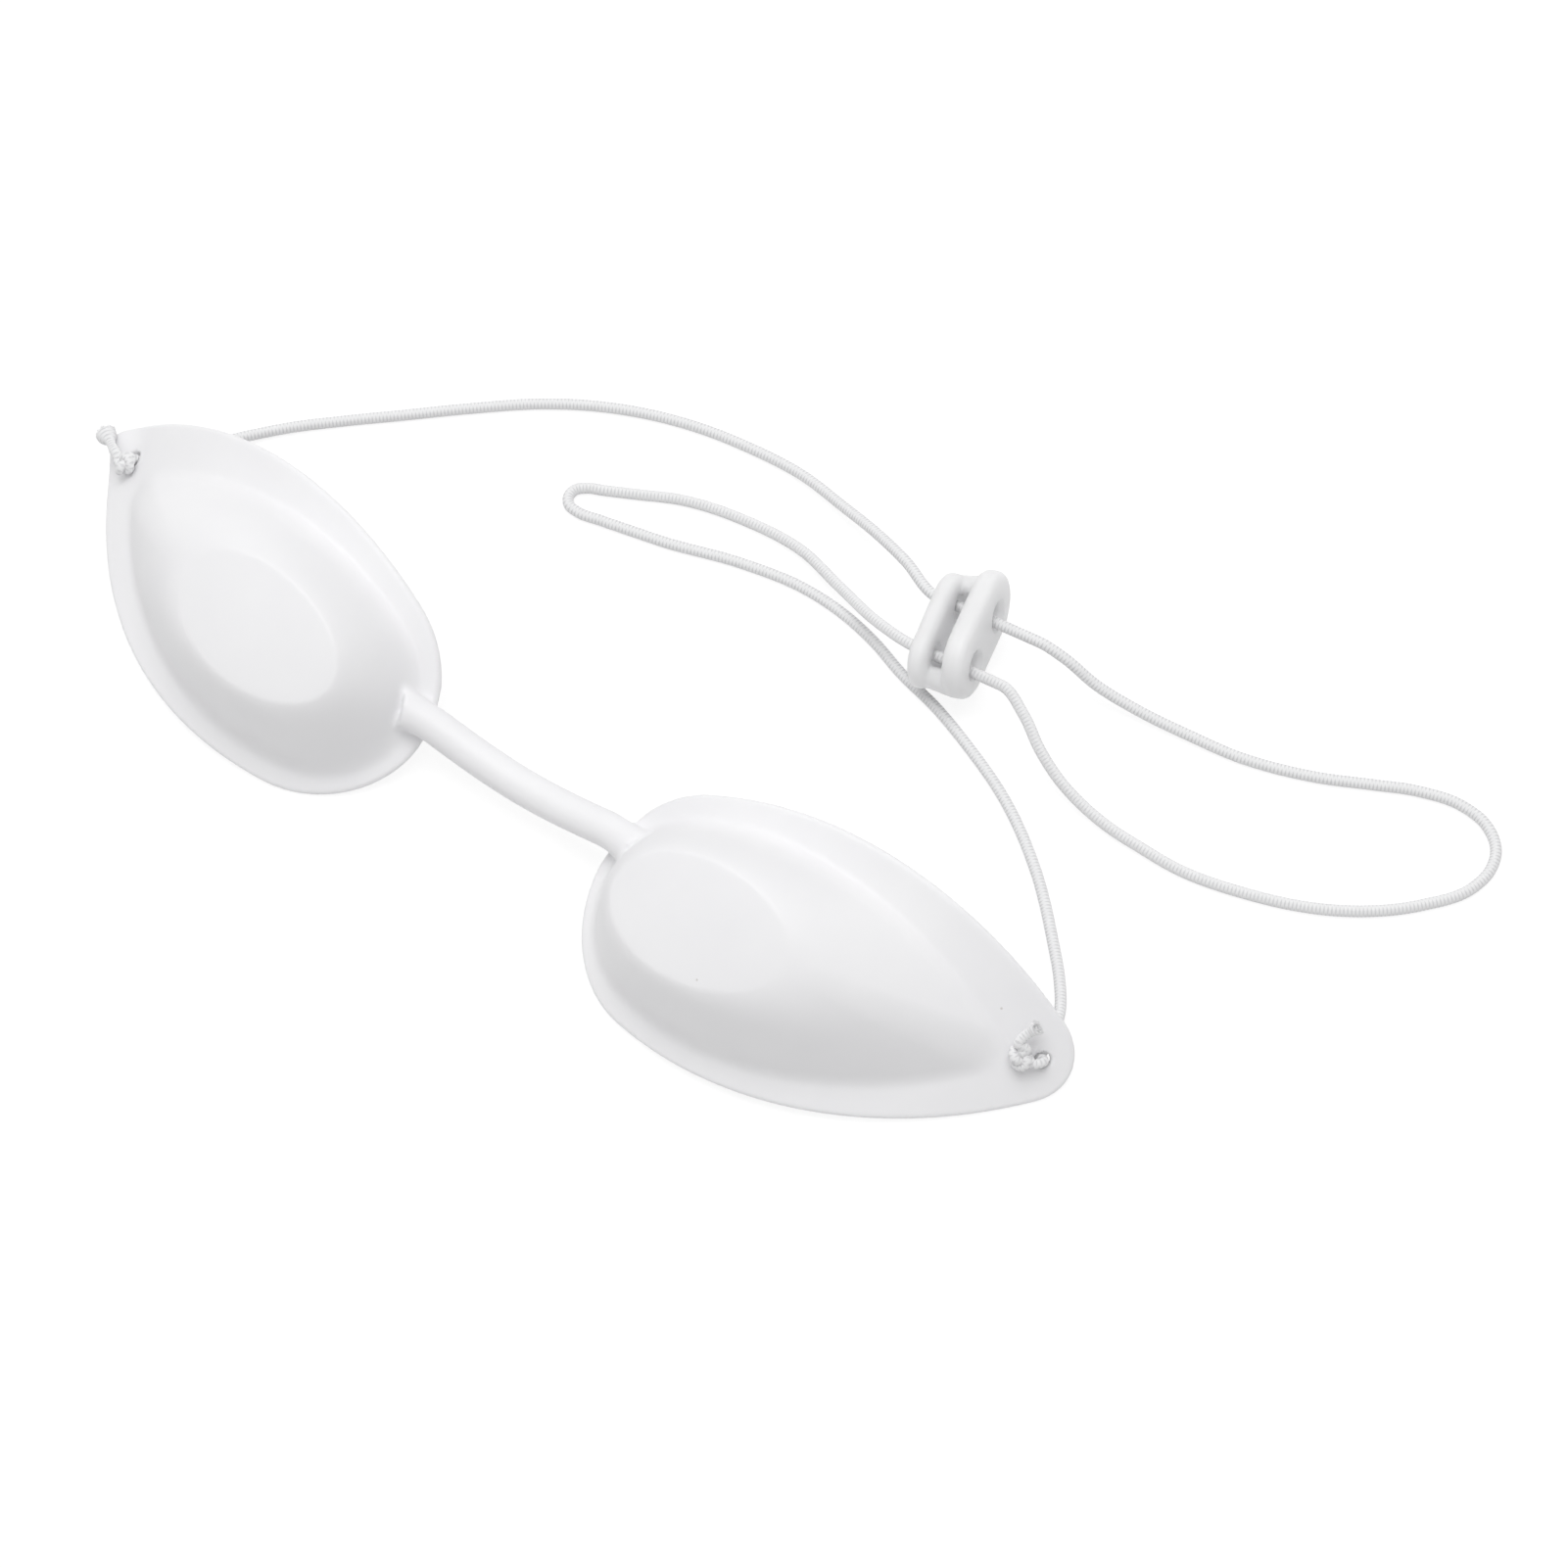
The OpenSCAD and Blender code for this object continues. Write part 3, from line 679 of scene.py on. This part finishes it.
def teardrop(nose, nose_r, temple, temple_r, brow_r, cheek_r):
    """Outline of a cup: temple end, brow side, nose end and cheek side, as one smooth line."""
    brow = arc_centre(nose, nose_r, temple, temple_r, brow_r, 1)
    cheek = arc_centre(nose, nose_r, temple, temple_r, cheek_r, -1)
    a, b = bearing(temple - cheek), bearing(temple - brow)
    c, d = bearing(nose - brow), bearing(nose - cheek)
    return np.array(
        arc(temple, temple_r, a, b, ARC_COUNTS[0]) + arc(brow, brow_r, b, c, ARC_COUNTS[1])
        + arc(nose, nose_r, c, d, ARC_COUNTS[2]) + arc(cheek, cheek_r, d, a, ARC_COUNTS[3])
    )


def facet_point(p):
    """The point of the facet's oval edge that faces p."""
    v = p - FACET_C
    a = bearing(v) - FACET_TURN
    return FACET_C + unit(v) * FACET_A * FACET_B / math.hypot(FACET_B * cosd(a), FACET_A * sind(a))


def wall_rise(s):
    """Height of the wall over its foot, a share s of the way from the foot to the facet."""
    return (DOME_H - WALL) * ((1 - SLOPE_SHARE) * sind(90 * s) + SLOPE_SHARE * s)


def skin_column(rim, foot, facet):
    """Points of the cup's top skin from the rim over the fillet, the wall and the facet."""
    inward, up_wall = unit(foot - rim), unit(facet - foot)
    width = np.linalg.norm(facet - foot)
    edge = rim + inward * WALL / 2
    start = foot - up_wall * FOOT_FILLET
    steep = wall_rise(0.01) / (0.01 * width)
    out = [on_sheet(edge + (start - edge) * t, WALL) for t in (0, 0.2, 0.4, 0.6, 0.8)]
    for d in np.linspace(-1, 0.8, 10):
        rise = steep * FOOT_FILLET * (d + 1) ** 2 / 4
        out.append(on_sheet(foot + up_wall * FOOT_FILLET * d, WALL + rise))
    first = FOOT_FILLET / width + 0.03
    for s in first + (1 - first) * np.linspace(0, 1, 22):
        out.append(on_sheet(foot + (facet - foot) * s, WALL + wall_rise(s)))
    for t in (0.04, 0.1, 0.18, 0.28, 0.4, 0.52, 0.64, 0.76, 0.88):
        crown = FACET_CROWN * (1 - (1 - t) ** 2)
        out.append(on_sheet(facet + (FACET_C - facet) * t, DOME_H + crown))
    return out


def cup_rings():
    """Rings of one cup from its top over the round edge to the middle of the hollow."""
    rim, foot = teardrop(*RIM), teardrop(*FOOT)
    skin = np.array([skin_column(r, f, facet_point(f)) for r, f in zip(rim, foot)])
    rows = skin.shape[1]
    top = on_sheet(FACET_C, DOME_H + FACET_CROWN)
    round_it = np.roll(skin, -1, 0) - np.roll(skin, 1, 0)
    ahead = np.concatenate([skin[:, 1:], np.broadcast_to(top, (COLUMNS, 1, 3))], 1)
    behind_it = np.concatenate([skin[:, :1], skin[:, :-1]], 1)
    normal = np.cross(behind_it - ahead, round_it)
    normal /= np.linalg.norm(normal, axis=2)[..., None]
    inner = skin - WALL * normal
    rings = [skin[:, j] for j in range(rows - 1, -1, -1)]
    high, low = skin[:, 0], inner[:, 0]
    out = high - skin[:, 1]
    out /= np.linalg.norm(out, axis=1)[:, None]
    for a in (67, 45, 22, 0, -22, -45, -67):
        rings.append((high + low) / 2 + out * cosd(a) * WALL / 2 + (high - low) / 2 * sind(a))
    rings += [inner[:, j] for j in range(rows)]
    return rings


LEAN_SLOPE = 0.045
LEAN_DEPTH = 1.15
LEAN_HALF = 15
LEAN_REACH = 17


def bridge_lean(x):
    """How far the soft bridge hangs towards the cheeks, most at the left of its middle."""
    bow = np.cos(np.clip(x, -LEAN_HALF, LEAN_HALF) * math.pi / (2 * LEAN_HALF))
    return LEAN_SLOPE * np.clip(x, -LEAN_REACH, LEAN_REACH) - LEAN_DEPTH * bow


BRIDGE_SIDES = 48
BAR_STEPS = 60
ROOT_STEPS = 16
ROOT_HEIGHT = 2
ROOT_BITE = 0.2
# How much shorter each root is on its top side than on its bottom side
RIGHT_SHORT = 0.1
LEFT_SHORT = 1.5


def bridge_rings():
    """Rings from the root in the left cup over the hanging bar to the root in the right cup."""
    rim_nose_x = EYE_X - math.sqrt(RIM_NOSE_R**2 - BRIDGE_Y**2)
    end_x = rim_nose_x - ROOT_L
    bar_r = (end_x**2 + BRIDGE_SAG**2) / (2 * BRIDGE_SAG)
    slope = math.asin(end_x / bar_r)
    end_z = sheet_z(rim_nose_x) + BRIDGE_RISE - math.tan(slope) * ROOT_L
    bar_z = end_z - BRIDGE_SAG
    nose_foot = FOOT_NOSE - [FOOT_NOSE_R, 0]
    nose_width = np.linalg.norm(facet_point(nose_foot) - nose_foot)
    steep = wall_rise(0.1) / (0.1 * nose_width)
    angles = -np.arange(BRIDGE_SIDES) * 2 * math.pi / BRIDGE_SIDES

    def root_end_x(y, z):
        h = max(z - sheet_z(EYE_X + FOOT_NOSE[0] - FOOT_NOSE_R) - WALL, 0)
        r = FOOT_NOSE_R - min(h, ROOT_HEIGHT) / steep - ROOT_BITE
        return EYE_X + FOOT_NOSE[0] - math.sqrt(r * r - (y - FOOT_NOSE[1]) ** 2)

    def root_point(a, t, short):
        r = BRIDGE_R + BRIDGE_FLARE * t**3
        y = BRIDGE_Y + r * math.cos(a)
        x0 = end_x - r * math.sin(a) * math.sin(slope)
        z0 = end_z + r * math.sin(a) * math.cos(slope)
        x1 = root_end_x(y, z0 + math.tan(slope) * (ROOT_L + FLANGE_NOSE))
        x1 -= short * math.sqrt(max(0, math.sin(a)))
        x = x0 + (x1 - x0) * t
        z = z0 + math.tan(slope) * (x - x0)
        return [x, y, z if t == 0 else max(z, sheet_z(x) + WALL * 0.4)]

    def root_rings(short):
        return [np.array([root_point(a, t, short) for a in angles])
                for t in np.linspace(0, 1, ROOT_STEPS)]

    bar = []
    for turn in np.linspace(-slope, slope, BAR_STEPS)[1:-1]:
        z = bar_z + bar_r - bar_r * math.cos(turn)
        centre = np.array([bar_r * math.sin(turn), BRIDGE_Y, z])
        up = np.array([-math.sin(turn), 0, math.cos(turn)])
        spokes = [np.array([0, math.cos(a), 0]) + up * math.sin(a) for a in angles]
        bar.append(centre + BRIDGE_R * np.array(spokes))
    left = [ring * [-1, 1, 1] for ring in root_rings(LEFT_SHORT)]
    rings = left[::-1] + bar + root_rings(RIGHT_SHORT)
    for ring in rings:
        ring[:, 1] += bridge_lean(ring[:, 0])
    return rings


def apply_modifiers(obj):
    graph = bpy.context.evaluated_depsgraph_get()
    mesh = bpy.data.meshes.new_from_object(obj.evaluated_get(graph))
    obj.modifiers.clear()
    old, obj.data = obj.data, mesh
    mesh.name = obj.name
    bpy.data.meshes.remove(old)


def cut(obj, cutter):
    """Cuts one object out of another, and removes the cutter."""
    modifier = obj.modifiers.new("cut", "BOOLEAN")
    modifier.operation = "DIFFERENCE"
    modifier.solver = "EXACT"
    modifier.object = cutter
    apply_modifiers(obj)
    bpy.data.objects.remove(cutter)


def remesh(obj, size):
    modifier = obj.modifiers.new("remesh", "REMESH")
    modifier.mode = "VOXEL"
    modifier.voxel_size = size * MM
    modifier.use_smooth_shade = True
    apply_modifiers(obj)


def vertices_of(obj):
    points = np.zeros(len(obj.data.vertices) * 3)
    obj.data.vertices.foreach_get("co", points)
    return points.reshape(-1, 3) / MM


def put_vertices(obj, points):
    obj.data.vertices.foreach_set("co", (points * MM).astype(np.float32).ravel())
    obj.data.update()


def relaxed(obj, points, weights, rounds, keep_size):
    """Moves each point towards the mean of its neighbours; keep_size undoes the shrinking."""
    ends = np.zeros(len(obj.data.edges) * 2, np.int64)
    obj.data.edges.foreach_get("vertices", ends)
    a, b = ends.reshape(-1, 2).T
    n = len(points)
    count = np.bincount(a, minlength=n) + np.bincount(b, minlength=n)
    steps = (0.5, -0.52) if keep_size else (0.5,)
    for _ in range(rounds):
        for step in steps:
            sums = [np.bincount(a, points[b, k], n) + np.bincount(b, points[a, k], n)
                    for k in range(3)]
            mean = np.stack(sums, -1) / count[:, None]
            points = points + (mean - points) * step * weights[:, None]
    return points


def lathe(profile, sides):
    """A closed solid turned round the Z axis from pairs of radius and height."""
    angle = np.arange(sides) * 2 * math.pi / sides
    return closed_rings([np.stack([r * np.cos(angle), r * np.sin(angle), np.full(sides, z)], -1)
                         for r, z in profile])


def lay_along(points, side):
    """From a hole's own frame to the shield's, before its tilt; side is 1 right, -1 left."""
    return (leaned(points) + on_sheet(hole_at(side), 0)) * [side, 1, 1]


TIP_START = 46.6
TIP_LENGTH = 4.9
TIP_Y = 9.6
TIP_SPREAD = 2.3
TIP_SHIFT = [-1.6, 0, 1.1]


def left_tip(points):
    """The left cup's temple tip is squarer and lies flatter than the right one's."""
    u = -points[:, 0] - EYE_X
    ramp = np.clip((u - TIP_START) / TIP_LENGTH, 0, 1)
    bell = np.exp(-((points[:, 1] - TIP_Y) ** 2) / (2 * TIP_SPREAD**2))
    weight = ramp * ramp * (3 - 2 * ramp) * bell
    return weight[:, None] * TIP_SHIFT


# The fillets of the bridge's roots: X of their middle and of their ends, and how far they reach
# from the bridge's axis
FILLET_MIDDLE = 15.8
FILLET_FROM = 14.6
FILLET_TO = 23
FILLET_REACH = 5.2


def root_fillets(points):
    """1 where the bridge runs into the cups, and 0 elsewhere."""
    x, y, z = points.T
    from_axis = z - (sheet_z(FILLET_MIDDLE) + BRIDGE_RISE)
    reach = np.hypot(y - BRIDGE_Y - bridge_lean(x), from_axis)
    near = np.clip((FILLET_REACH - reach) / 1.6, 0, 1)
    first = np.clip((np.abs(x) - FILLET_FROM) / 1.5, 0, 1)
    return near * (first * np.clip((FILLET_TO - np.abs(x)) / 2, 0, 1))


SHIELD_VOXEL = 0.3
HOLE_SIDES = 48


def add_shield():
    cup_points, cup_faces = closed_rings(cup_rings())
    shells = []
    for side in (1, -1):
        shell = mesh_object("shell", cup_points * [side, 1, 1], cup_faces)
        hole_points, hole_faces = lathe([(CORD_HOLE_R, -4), (CORD_HOLE_R, 4)], HOLE_SIDES)
        cutter = mesh_object("cutter", lay_along(hole_points, side), hole_faces)
        if side == -1:
            for one in (shell, cutter):
                one.data.flip_normals()
        cut(shell, cutter)
        shells.append(shell)
    shells.append(mesh_object("bar", *closed_rings(bridge_rings())))
    solids = [(vertices_of(shell), [face.vertices for face in shell.data.polygons])
              for shell in shells]
    obj = mesh_object("shield_moulding", *joined(solids))
    for shell in shells:
        bpy.data.objects.remove(shell)
    remesh(obj, SHIELD_VOXEL)
    points = vertices_of(obj)
    points = relaxed(obj, points, np.ones(len(points)), rounds=4, keep_size=True)
    points = relaxed(obj, points, root_fillets(points), rounds=14, keep_size=False)
    put_vertices(obj, at_rest(points) + left_tip(points))
    shade_smooth(obj.data)
    obj.data.materials.append(shield_white)
    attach(obj, "eye_shield")
    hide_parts("left_eye_cup", "right_eye_cup", "nose_bridge")
    return obj


# Cord lock, in its own frame: X along the row of bores, Y across it, Z along the bores
# Each plate's radius round the bores, thickness, shifts along X and Y, and its middle's height.
# low_r is the rear plate's smaller radius round the low bore.
LOCK_VOXEL = 0.11
BORE_SIDES = 64
FRONT_PLATE = dict(r=5.5, thick=3.3, row=0.4, across=0.4, middle=(LOCK_SLOT + 3.3) / 2)
REAR_PLATE = dict(r=4.85, thick=2.8, row=-0.35, across=0, middle=-(LOCK_SLOT + 2.8) / 2, low_r=4.4)


def stadium(plate, inset, z, sides=96):
    """Points round both bores, inset from the plate's outline, at a height z."""
    out = []
    for k in range(sides):
        a = 90 + 360 * k / sides
        low = k < sides / 2
        r = (plate.get("low_r", plate["r"]) if low else plate["r"]) - inset
        x = (0 if low else LOCK_PITCH) + plate["row"]
        out.append([x + r * cosd(a), plate["across"] + r * sind(a), z])
    return np.array(out)


def plate_rings(plate):
    """A pillow: full round edges, and faces with a slight crown."""
    half, middle = plate["thick"] / 2, plate["middle"]
    rings = []
    for a in np.linspace(90, -90, 33):
        z = middle + (half - LOCK_ROUND) * np.sign(a) + LOCK_ROUND * sind(a)
        rings.append(stadium(plate, LOCK_ROUND * (1 - cosd(a)), z))
    crown = [(0.55, 0.05), (0.75, 0.1), (0.95, 0.12)]
    first = [stadium(plate, plate["r"] * share, middle + half + lift) for share, lift in crown]
    last = [stadium(plate, plate["r"] * share, middle - half - lift) for share, lift in crown]
    return first[::-1] + rings + last


# The webs' reach at each plate, their half length along the bores, their inner radius, and the
# angles at which the webs of the low and the high bore start
WEB_FRONT = FRONT_PLATE["r"] - 0.5
WEB_REAR = REAR_PLATE["r"] - 0.6
WEB_HALF = LOCK_SLOT / 2 + 1.1
WEB_INNER = 2
WEB_STARTS = (160, 124)
WEB_GROWS = 34
SLOT_FLOOR = -1.1


def web_rings(end):
    """Curved web that joins the plates round one bore; end is 0 for the low one, 1 for the high."""
    low = WEB_STARTS[end]
    rings = []
    for a in np.linspace(low, 270, 48):
        way = np.array([cosd(a), sind(a), 0])
        grown = 0.3 + 0.7 * math.sin(math.pi / 2 * min(1, (a - low) / WEB_GROWS))
        rear = WEB_INNER + (WEB_REAR - WEB_INNER) * grown
        front = WEB_INNER + (WEB_FRONT - WEB_INNER) * grown
        corners = [(WEB_INNER, -WEB_HALF), (rear, -WEB_HALF), (front, WEB_HALF),
                   (WEB_INNER, WEB_HALF)]
        ring = np.array([way * r + [0, 0, z] for r, z in corners])
        if end:
            ring = ring * [-1, 1, 1] + [LOCK_PITCH + 0.3, 0, 0]
        rings.append(ring)
    return rings


def floor_rings():
    """Bottom of the slot, between the webs' ends."""
    corners = [(SLOT_FLOOR, -WEB_HALF), (-WEB_REAR, -WEB_HALF), (-WEB_FRONT, WEB_HALF),
               (SLOT_FLOOR, WEB_HALF)]
    return [np.array([[x, y, z] for y, z in corners])
            for x in np.linspace(-0.3, LOCK_PITCH + 0.6, 12)]


def lock_pose(p):
    """From the lock's own frame to the object's frame."""
    q = np.stack([p[:, 2], p[:, 0], p[:, 1]], -1)
    c, s = cosd(LOCK_TIP), sind(LOCK_TIP)
    q = np.stack([q[:, 0] * c - q[:, 2] * s, q[:, 1], q[:, 0] * s + q[:, 2] * c], -1)
    c, s = cosd(LOCK_TURN), sind(LOCK_TURN)
    q = np.stack([q[:, 0] * c - q[:, 1] * s, q[:, 0] * s + q[:, 1] * c, q[:, 2]], -1)
    return q + LOW_BORE


def add_lock():
    solids = (plate_rings(FRONT_PLATE), plate_rings(REAR_PLATE), web_rings(0), web_rings(1),
              floor_rings())
    obj = mesh_object("cord_lock_moulding", *joined(closed_rings(rings) for rings in solids))
    remesh(obj, LOCK_VOXEL)
    points = vertices_of(obj)
    points = relaxed(obj, points, np.ones(len(points)), rounds=22, keep_size=False)
    put_vertices(obj, points)
    # Each bore with a funnel mouth at both ends, from its low end up
    half = LOCK_WIDTH / 2 + 0.3
    mouth = LOCK_BORE_R + 0.5
    upper = [(LOCK_BORE_R, half - 0.6), (LOCK_BORE_R + 0.15, half - 0.3),
             (mouth, half + 0.1), (mouth + 0.3, half + 1)]
    points, faces = lathe([(r, -z) for r, z in upper[::-1]] + upper, BORE_SIDES)
    for x in (0, LOCK_PITCH):
        cut(obj, mesh_object("cutter", points + [x, 0, 0], faces))
    remesh(obj, LOCK_VOXEL)
    points = vertices_of(obj)
    points = relaxed(obj, points, np.ones(len(points)), rounds=5, keep_size=True)
    put_vertices(obj, lock_pose(points))
    shade_smooth(obj.data)
    obj.data.materials.append(lock_white)
    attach(obj, "cord_lock")
    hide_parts("cord_lock")
    return obj


shield = add_shield()
lock = add_lock()


# Floor, light and background
def background_rays(nodes, links):
    """1 for rays that see the white background: the camera's, a mirror's, those through glass."""
    path = nodes.new("ShaderNodeLightPath")
    rays = path.outputs["Is Camera Ray"]
    for kind in ("Is Glossy Ray", "Is Transmission Ray"):
        either = add(nodes, "ShaderNodeMath", operation="MAXIMUM")
        links.new(rays, either.inputs[0])
        links.new(path.outputs[kind], either.inputs[1])
        rays = either.outputs["Value"]
    return rays


def mixed(nodes, links, first, second, target):
    """The first shader for rays that light the object, the second for the background's rays."""
    mix = nodes.new("ShaderNodeMixShader")
    links.new(background_rays(nodes, links), mix.inputs["Fac"])
    links.new(first, mix.inputs[1])
    links.new(second, mix.inputs[2])
    links.new(mix.outputs["Shader"], target)


def floor_material():
    """Pale floor, which the camera sees as white with the object's soft shadow left in it."""
    material, nodes, links, shader = new_material("floor_white")
    shader.inputs["Base Color"].default_value = (0.8, 0.8, 0.8, 1)
    shader.inputs["Roughness"].default_value = 0.9
    dull = nodes.new("ShaderNodeBsdfDiffuse")
    dull.inputs["Color"].default_value = (0.2, 0.2, 0.2, 1)
    glow = nodes.new("ShaderNodeEmission")
    glow.inputs["Strength"].default_value = 0.85
    white = nodes.new("ShaderNodeAddShader")
    links.new(dull.outputs["BSDF"], white.inputs[0])
    links.new(glow.outputs["Emission"], white.inputs[1])
    surface = nodes["Material Output"].inputs["Surface"]
    mixed(nodes, links, shader.outputs["BSDF"], white.outputs["Shader"], surface)
    return material


def add_floor():
    size = 3000
    points = [(-size, -size, 0), (size, -size, 0), (size, size, 0), (-size, size, 0)]
    floor = mesh_object("floor", points, [(0, 1, 2, 3)])
    floor.data.materials.append(floor_material())


def add_world():
    world = bpy.data.worlds.new("studio")
    world.use_nodes = True
    scene.world = world
    nodes, links = world.node_tree.nodes, world.node_tree.links
    light = nodes["Background"]
    light.inputs["Color"].default_value = (1, 1, 1, 1)
    light.inputs["Strength"].default_value = 0.485
    white = nodes.new("ShaderNodeBackground")
    white.inputs["Color"].default_value = (1, 1, 1, 1)
    white.inputs["Strength"].default_value = 1
    surface = nodes["World Output"].inputs["Surface"]
    mixed(nodes, links, light.outputs["Background"], white.outputs["Background"], surface)


LAMP_SIZE_M = 0.9


def add_light(name, place, power):
    """A round lamp that faces the object; its place is in metres."""
    data = bpy.data.lights.new(name, "AREA")
    data.shape = "DISK"
    data.size = LAMP_SIZE_M
    data.energy = power
    back = unit(place)
    side = unit(np.cross([0, 0, 1], back))
    put_in_scene(bpy.data.objects.new(name, data), side, np.cross(back, side), back, place)


add_floor()
add_world()
add_light("key", (0.01, 0, 1.2), 7.9)
add_light("left", (-0.8, 0, 0.9), 1.4)
add_light("far", (0, 1.05, 0.55), 1)
